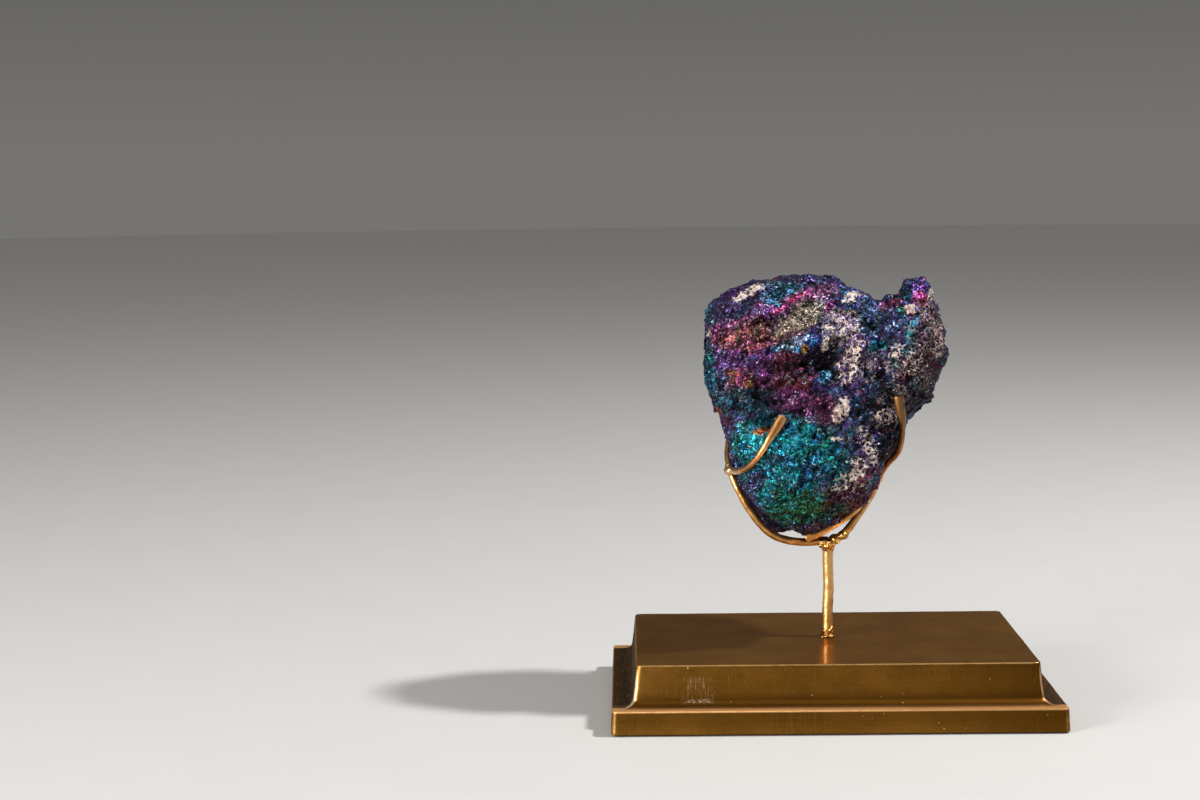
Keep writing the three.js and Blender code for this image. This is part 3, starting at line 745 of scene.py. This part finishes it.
break_along_layers(stone)
roughen(stone, size=9 * MM, depth=1.3 * MM, group="free", turn=STRATA, stretch=1.8)
break_into_grains(stone, size=8 * MM, tilt=0.22, lift=0.25 * MM, seed=4)
break_into_grains(stone, size=3.4 * MM, tilt=0.26, lift=0.12 * MM, seed=9)
sink_pits(stone, count=26, size=1.8 * MM, depth=0.8 * MM, seed=12)
break_into_grains(stone, size=1.7 * MM, tilt=0.34, lift=0.06 * MM, seed=7)

# Where the relief comes too near to a rod, it is pushed back in.
for point, normal in zip(stone.data.vertices, normals_of(stone)):
    short = CLEAR - gap_to_rods(point.co)
    if short > 0:
        point.co -= normal * short
stone.vertex_groups.clear()
bpy.ops.object.shade_smooth()


# Colours of the tarnish on the front, some of them dark patches of painted shade, as [colour, (x, z)
# from the stone's centre, half width and half height in mm, degrees that it rises to the right,
# strength]. Later ones lie over earlier ones.
TARNISH_AND_SHADE = [
    ["1f6f8c", (-52.5, 43), (6, 7), 0, 0.9],
    ["2a6488", (-26, 55), (12, 3.5), 18, 0.8],
    ["5a5290", (-43, 44), (13, 6), 10, 0.8],
    ["245f8c", (-35, 41), (4.5, 3), 0, 0.9],
    ["7d3a86", (-26, 41), (11, 6), 20, 0.7],
    ["7c3a5c", (-39, 31.5), (17, 8), 8, 0.9],
    ["94504c", (-35, 31), (12, 5), 12, 0.8],
    ["b86e62", (-31.5, 32), (6, 3), 5, 0.7],
    ["b85f78", (-29, 27), (9, 3.4), 15, 0.7],
    ["17728c", (-20, 51), (10, 4.5), 22, 0.9],
    ["3a3f78", (-8, 57), (14, 3), 5, 0.8],
    ["863a78", (-9, 49.5), (13, 3.6), 28, 0.75],
    ["b0709a", (0, 50.5), (7, 4), 20, 0.7],
    ["a83a6c", (-15.5, 46), (11, 1.3), 32, 0.9],
    ["9c2f58", (-2, 42), (9, 2.2), 30, 0.6],
    ["94897a", (-12, 37.6), (12.5, 6.0), 35, 1.0],
    ["a4967c", (-16, 34), (7, 3), 40, 0.7],
    ["9c5272", (-17, 30.2), (7, 1.6), 24, 0.7],
    ["2b7cc8", (-14, 26.4), (11, 2.8), 12, 1.0],
    ["35b4d4", (-16, 26), (7, 1.5), 12, 1.0],
    ["a8c0e4", (-14.5, 27.8), (8, 2), 12, 0.8],
    ["e0893a", (-9, 24.6), (1.3, 2), 0, 1.0],
    ["6c3a86", (-40, 18), (14, 6), 0, 0.8],
    ["7d3f8e", (-26, 17), (13, 5), 5, 0.7],
    ["5f1f26", (-15, 13), (9, 12), 10, 0.95],
    ["6e2440", (-30, 7), (20, 5.5), 0, 0.8],
    ["7c3238", (-37, 12.5), (6, 4), 0, 0.7],
    ["a8683c", (-41.5, 14), (3.6, 2.0), -20, 0.8],
    ["a54a3c", (-37, 9), (5, 2.6), 0, 0.6],
    ["0f7c94", (-54, 16), (3.5, 14), 0, 0.9],
    ["0f6f84", (-50, 8), (5, 6), 0, 0.7],
    ["0b4555", (-37, 1), (16, 6), 3, 0.95],
    ["73306e", (-12, 0), (13, 6), -8, 0.8],
    ["742c52", (-1, -5), (8.5, 9), 0, 0.85],
    ["d8622c", (-48.8, -3.4), (1.7, 2.6), 0, 1.0],
    ["8a2f6a", (-45, -8), (4, 2), 20, 0.7],
    ["5a3a80", (-44, -16), (3.5, 9), 0, 0.7],
    ["0f93aa", (-17, -26), (28, 19), -5, 1.0],
    ["19b4c8", (-34, -14), (8, 6), 0, 0.7],
    ["1cb9cc", (-15, -19), (14, 9), 10, 0.7],
    ["14a0c4", (-12, -12), (9, 5), -30, 0.7],
    ["1c90c0", (-9, -36), (14, 7), 20, 0.8],
    ["0f9480", (-14, -48), (17, 9), 5, 0.85],
    ["1090a4", (-24, -42), (10, 5), 30, 0.6],
    ["0a3644", (-22.5, -24.5), (4, 2.6), -20, 0.8],
    ["4a3a70", (-33, -37), (4.5, 7), -25, 0.8],
    ["e8a458", (-28.6, -11.8), (4.0, 1.5), 12, 1.0],
    ["6e4c6c", (0, -38), (4, 4), 0, 0.5],
    ["5c2c3a", (10, -42), (11, 6), 30, 0.85],
    ["0b6058", (4, -50), (8, 3.4), 30, 0.6],
    ["8c7aa4", (8, 33), (8, 9), 0, 0.85],
    ["43306e", (13, 12), (9, 11), -10, 0.8],
    ["0d4260", (17, -6), (5.5, 8), 10, 0.95],
    ["12334f", (24, 5), (7, 9), 0, 0.8],
    # A nearly black patch.
    ["14111c", (22.5, -2.5), (5, 5.5), 0, 0.95],
    ["3a1f38", (27, -8), (8, 5), 25, 0.8],
    ["4c6c9c", (22, 38), (8, 9), 0, 0.8],
    ["8a7690", (21.5, 21), (4.5, 5), 0, 0.7],
    ["5464a0", (30, 34), (7, 10), 0, 0.8],
    ["7a2a5a", (30, 46), (7, 3), 25, 0.8],
    ["3f2f8e", (42, 53), (7, 5), 10, 0.95],
    ["17708c", (36, 51), (4, 4), 30, 0.8],
    ["a82f6e", (44, 48), (3.5, 5), 0, 0.9],
    ["12a4bc", (24, 26.5), (3.4, 3), 0, 1.0],
    ["1292ac", (39, 31), (2.6, 6.6), -12, 1.0],
    ["1a9a8c", (34.5, 41.5), (1.6, 2.6), 0, 0.9],
    ["c03a4a", (38.4, 41.6), (1.8, 1.6), 0, 0.9],
    ["4c222c", (44, 14), (13, 10), 0, 0.95],
    ["54303a", (49, 32), (8, 16), 0, 0.9],
    # Painted shade under the right lobe.
    ["14101a", (40, 5), (13, 7), 20, 0.9],
    ["0c4a50", (31.3, 18.2), (2.4, 2.6), 0, 1.0],
    # Painted shade under the right lobe and in the recess beside the right arm.
    ["16121f", (44, -2), (9, 9), 30, 0.85],
    ["1a1220", (31, -17), (7, 12), -20, 0.85],
    ["0c0a10", (30, -21), (5, 9), -15, 0.95],
    # Painted shade in the hollow.
    ["151422", (-1.5, 20.5), (7, 5.6), 10, 1.0],
    ["0f5a70", (2, 13), (5, 4), 0, 0.7],
]
# Where the pale crust lies, as [(x, z), half width and half height, degrees, thickness].
CRUST = [
    [(-38, 50), (5.4, 2.5), 25, 0.85],
    [(-32, 53), (5.4, 2.7), 25, 0.85],
    [(-54, 33), (2, 2.5), 0, 0.6],
    [(12.5, 48.9), (5.2, 2.0), 30, 1.0],
    [(7, 35.5), (9, 8), 0, 0.44],
    [(-11.9, 37.6), (11, 5), 35, 0.3],
    [(-0.3, 26.9), (1.6, 3.4), -25, 0.9],
    [(10.7, 17), (5, 9.5), -15, 0.57],
    [(14.7, 24.4), (1.8, 4.6), -30, 0.7],
    [(7.3, -3.2), (3.4, 6.4), -20, 0.85],
    [(4.9, -16), (2.8, 0.9), -10, 0.8],
    [(20, -20), (3.4, 9.5), 20, 0.6],
    [(15.5, -28.5), (3.8, 4.6), 30, 0.58],
    [(12, -33.2), (7.6, 2.6), 15, 0.62],
    [(7.2, -38), (4.0, 2.0), 20, 0.6],
    [(14, -38.5), (4, 2), 30, 0.42],
    [(27.8, -6.3), (7, 4.4), 25, 0.5],
    [(36, 17.5), (10, 6), 5, 0.38],
    [(45, 9), (6, 5), 0, 0.26],
    [(45, 30), (9, 18), -8, 0.28],
    [(31.6, 24), (2.4, 4), -20, 0.55],
    [(6, 29), (4, 4), -20, 0.55],
    [(52, 33), (4, 15), -4, 0.4],
    [(49, 51), (1.4, 7), -25, 0.85],
    [(38.4, 42.4), (3, 2.6), 0, 0.8],
    [(20, 14), (8, 5), 0, 0.3],
    [(30, 5), (9, 5), -10, 0.3],
]
# The patches are placed as on a plane through the stone's middle, and run from there to its skin along
# a line that slants by this much. They are strongest this far in front of the middle, in mm, and fade
# out this far from there.
SLANT = np.array([-0.09, 0, 0.118])
FORWARD = 32
PATCH_DEPTH = 38


def lay_on(stone):
    """Paints the tarnish with its patches of painted shade, and the crust's thickness, on the stone's
    points.
    """
    noise.seed_set(4)  # without a seed the vector noise takes its pattern from the clock
    points = [point.co / MM for point in stone.data.vertices]
    ragged = np.array([2.0 * noise.turbulence_vector(p / 6, 2, False)
                       + 1.5 * noise.noise_vector(p / 2.1) + 0.9 * noise.noise_vector(p * 1.1)
                       for p in points])
    places = np.array(points) - np.array(STONE_CENTRE) / MM
    places += places[:, 1:2] * SLANT

    def oval(at, size, turn):
        """1 in the middle of a ragged oval on the stone's front and 0 outside."""
        away = places + ragged * min(0.2 + min(size) / 6, 1) - (at[0], -FORWARD, at[1])
        cos, sin = math.cos(math.radians(turn)), math.sin(math.radians(turn))
        along = (away[:, 0] * cos + away[:, 2] * sin) / size[0]
        across = (away[:, 2] * cos - away[:, 0] * sin) / size[1]
        far = np.sqrt(along ** 2 + across ** 2 + (away[:, 1] / PATCH_DEPTH) ** 2)
        share = np.clip((1.3 - far) / 0.5, 0, 1)
        return share * share * (3 - 2 * share)

    colour = np.zeros((len(points), 4))
    for code, at, size, turn, strength in TARNISH_AND_SHADE:
        share = (oval(at, size, turn) * strength)[:, None]
        colour = colour * (1 - share) + np.array(paint(code)) * share
    # The colour under a thin layer is not darkened by the empty start.
    colour[:, :3] /= np.maximum(colour[:, 3:], 1e-6)
    thick = np.zeros(len(points))
    for at, size, turn, strength in CRUST:
        thick = np.maximum(thick, oval(at, size, turn) * strength)
    # How far each point stands out from the smoothed surface round it, in mm.
    smooth = stone.copy()
    smooth.data = stone.data.copy()
    bpy.context.scene.collection.objects.link(smooth)
    bpy.context.view_layer.objects.active = smooth
    apply_modifier(smooth, "SMOOTH", iterations=40, factor=1.0)
    proud = [(point.co - even.co).dot(even.normal) / MM
             for point, even in zip(stone.data.vertices, smooth.data.vertices)]
    bpy.data.objects.remove(smooth)
    bpy.context.view_layer.objects.active = stone
    stands = stone.data.attributes.new("proud", "FLOAT", "POINT")
    stands.data.foreach_set("value", proud)
    layer = stone.data.color_attributes.new("tarnish", "FLOAT_COLOR", "POINT")
    layer.data.foreach_set("color", colour.ravel())
    crust = stone.data.attributes.new("crust", "FLOAT", "POINT")
    crust.data.foreach_set("value", thick)


lay_on(stone)


def peacock_ore():
    finish = Finish("peacock_ore")

    # Each grain takes the colour of its middle, so patches end along the edges of grains.
    bent = finish.bent(4.5, 6)
    grain_size = 0.68
    grain = finish.grains(grain_size, "Position", at=bent)
    fine = finish.grains(grain_size, "Color", at=bent)
    gap = finish.grains(grain_size, "Distance", at=bent)
    pick, shade, hue = finish.parts(fine)
    coarse_pick, coarse_shade, coarse_hue = finish.parts(finish.grains(2.7, "Color", at=bent))

    # All round: indigo and purple, with clouds of blue, magenta and teal.
    broad = finish.noise(17, detail=2, at=grain)
    other = finish.noise(11, detail=2, at=finish.vector("ADD", grain, (90.0, 20.0, -40.0)))
    colour = finish.node("ValToRGB", {"stops": [
        (0.28, paint("0d6478")), (0.4, paint("224f96")), (0.5, paint("40307c")),
        (0.6, paint("5d2f74")), (0.72, paint("7c2a55")),
    ]}, [broad])
    colour = finish.mix(other.rise(0.58, 0.7) * 0.75, colour, paint("0f8ea0"))
    colour = finish.mix(other.rise(0.42, 0.3) * 0.55, colour, paint("6e2136"))
    painted = finish.attribute("tarnish", output="Color")
    covered = finish.attribute("tarnish", output="Alpha")
    # The hue drifts within every patch, and from grain to grain.
    drift = 0.5 + (finish.noise(6, detail=3, at=grain) - 0.5) * 0.26 + (coarse_hue - 0.5) * 0.07
    drift = drift + (hue - 0.5) * 0.04
    painted = finish.node("HueSaturation", {}, {"Hue": drift, "Color": painted})
    colour = finish.mix(covered, colour, painted)

    # Some grains stray from their patch's colour, alone or in groups.
    thick = finish.attribute("crust")
    stray = (0.6 - covered * 0.25) * (1 - thick * 0.9)
    for chosen, code in ((hue.rise(0.84, 0.88), "2a7cb4"), (hue.rise(0.14, 0.1), "9a2f7c"),
                         (coarse_pick.rise(0.84, 0.88), "3a2c7c"),
                         (coarse_hue.rise(0.88, 0.92), "0f7f98"),
                         (coarse_hue.rise(0.12, 0.08), "7c2a38")):
        colour = finish.mix(chosen * stray * 0.7, colour, paint(code))

    # A grain that stands out is painted lighter and one in a hollow painted darker: painted light and
    # shade. A few grains get painted glints.
    relief = finish.attribute("proud").rise(-1.5, 0.7)
    mottle = finish.noise(4, detail=2).rise(0.3, 0.7)
    crack = (finish.noise(3, detail=4, roughness=0.65) - 0.5).size().rise(0.045, 0.012)
    crack = crack * finish.noise(8, detail=1).rise(0.42, 0.55)
    level = (0.07 + (pick ** 2.6) * 1.95) * (0.8 + coarse_shade * 0.24) * (0.35 + relief * 0.72)
    level = level * (0.74 + mottle * 0.34) * (1 + shade.rise(0.95, 0.965) * 1.8)
    lit = finish.node("CombineXYZ", {}, [level * 1.1, level * 1.02, level * 0.9])  # a little warmer
    colour = finish.mix(0.03, colour, paint("8d8594"))
    colour = finish.mix(1, colour, lit, blend="MULTIPLY")
    colour = finish.mix(crack * 0.85, colour, paint("08060c"))
    # Painted glints: a few grains go nearly white.
    colour = finish.mix(shade.rise(0.978, 0.986) * 0.4, colour, paint("dcd4e0"))

    # The pale crust: a net of worm-like threads round small dark cells.
    behind = finish.y.rise(6, 16) * finish.noise(15, detail=2).rise(0.5, 0.66) * 0.55
    thick = thick.or_more(behind)
    border = finish.grains(2.5, 0, at=finish.bent(1.6, 3.2), feature="DISTANCE_TO_EDGE")
    breaks = finish.noise(2.6, detail=3).rise(0.34, 0.6)
    reach = (thick ** 1.8) * 0.4 * (0.3 + breaks * 0.85)
    crust = (reach - border).rise(-0.03, 0.05) * thick.rise(0.1, 0.25)
    pale = finish.mix(finish.noise(3, detail=2).rise(0.4, 0.6), paint("b09a8c"), paint("e2d0bf"))
    pale = finish.mix(finish.noise(0.9, detail=1).rise(0.5, 0.7) * 0.4, pale, paint("80706e"))
    # Crust in hollows is painted darker, a painted shade.
    pale = finish.mix(relief.rise(0.7, 0.1) * 0.8, pale, paint("3a3030"))
    pale = finish.mix(pick.rise(0.45, 0.1) * 0.65, pale, paint("4c434a"))
    colour = finish.mix(crust * 0.88, colour, pale)

    # Deep places are painted dark, a painted shade.
    bowl = finish.node("NewGeometry", {}, [], output="Pointiness")
    colour = finish.mix(bowl.rise(0.49, 0.42) * 0.6, colour, paint("07060a"))

    # Every fine grain has a flat face of its own, which catches the light or doesn't.
    normal = finish.node("NewGeometry", {}, [], output="Normal")
    facet = finish.vector("SUBTRACT", fine, (0.5, 0.5, 0.5))
    tilted = finish.vector("NORMALIZE", finish.vector(
        "ADD", normal, finish.vector("SCALE", facet, scale=0.6)))
    rough = 0.34 + shade * 0.25 + crust * 0.4
    height = crust * 1.2 + (1 - gap) * 0.2 + finish.noise(0.5, detail=2) * 0.2
    finish.wear(Base_Color=colour, Roughness=rough.clip(), Metallic=0.9 - crust * 0.9,
                Normal=finish.bump(height, 0.22, normal=tilted))
    return finish


finish_piece(stone, peacock_ore(), ["stone"])


# ---- The studio ----
# A pale floor, a soft key light from the right, a tall soft strip at the left and a wide fill.


def pale_paper():
    finish = Finish("pale_paper", Roughness=0.75)
    mottle = finish.noise(40, detail=3)
    finish.wear(Base_Color=finish.mix(mottle, paint("b7b5b2"), paint("bbb9b6")))
    return finish


deselect()
bpy.ops.mesh.primitive_circle_add(vertices=96, radius=6, fill_type="NGON")
floor = start_piece("floor")
floor.data.materials.append(pale_paper().material)


LIT_PLACE = Vector((0, 0, 0.13))


def soft_light(name, place, width, height, power):
    """A rectangular light that faces the stone."""
    light = bpy.data.lights.new(name, "AREA")
    light.shape = "RECTANGLE"
    light.size = width
    light.size_y = height
    light.energy = power
    holder = bpy.data.objects.new(name, light)
    bpy.context.scene.collection.objects.link(holder)
    holder.location = place
    aim = LIT_PLACE - holder.location
    holder.rotation_euler = aim.to_track_quat("-Z", "Y").to_euler()


soft_light("key", (1.06, -0.15, 1.5), 0.12, 0.12, 40)
soft_light("strip", (-1.25, -1.05, 0.4), 0.6, 0.78, 38)
soft_light("fill", (-0.2, -1.5, 1.7), 1.6, 1.2, 7)

world = bpy.data.worlds.new("studio")
world.use_nodes = True
sky = world.node_tree.nodes
direction = sky.new("ShaderNodeTexCoord").outputs["Generated"]
upward = sky.new("ShaderNodeSeparateXYZ")
ramp = sky.new("ShaderNodeValToRGB")
# The sky's grey at the horizon and straight up, and at heights between them.
ramp.color_ramp.elements[0].color = (0.178, 0.174, 0.168, 1)
ramp.color_ramp.elements[1].color = (0.45, 0.45, 0.45, 1)
for height, grey in ((0.09, 0.118), (0.16, 0.09), (0.28, 0.09), (0.45, 0.2)):
    ramp.color_ramp.elements.new(height).color = (grey * 1.02, grey, grey * 0.96, 1)
world.node_tree.links.new(direction, upward.inputs[0])
world.node_tree.links.new(upward.outputs["Z"], ramp.inputs[0])
world.node_tree.links.new(ramp.outputs[0], sky["Background"].inputs["Color"])
bpy.context.scene.world = world

CAMERA_PLACE = Vector((-91.8, -1015.5, 260.05)) * MM
# How far it turns from looking straight along Y, in radians.
CAMERA_DOWN = 0.11506
CAMERA_LEFT = 0.0135
CAMERA_ROLL = -0.01157
camera = bpy.data.cameras.new("camera")
camera.lens = 66  # mm
camera.sensor_width = 36
viewpoint = bpy.data.objects.new("camera", camera)
bpy.context.scene.collection.objects.link(viewpoint)
turn = Matrix.Rotation(CAMERA_LEFT, 4, "Z")
tip = Matrix.Rotation(math.pi / 2 - CAMERA_DOWN, 4, "X")
roll = Matrix.Rotation(CAMERA_ROLL, 4, "Z")
viewpoint.matrix_world = Matrix.Translation(CAMERA_PLACE) @ turn @ tip @ roll
bpy.context.scene.camera = viewpoint
bpy.context.scene.view_settings.view_transform = "Standard"
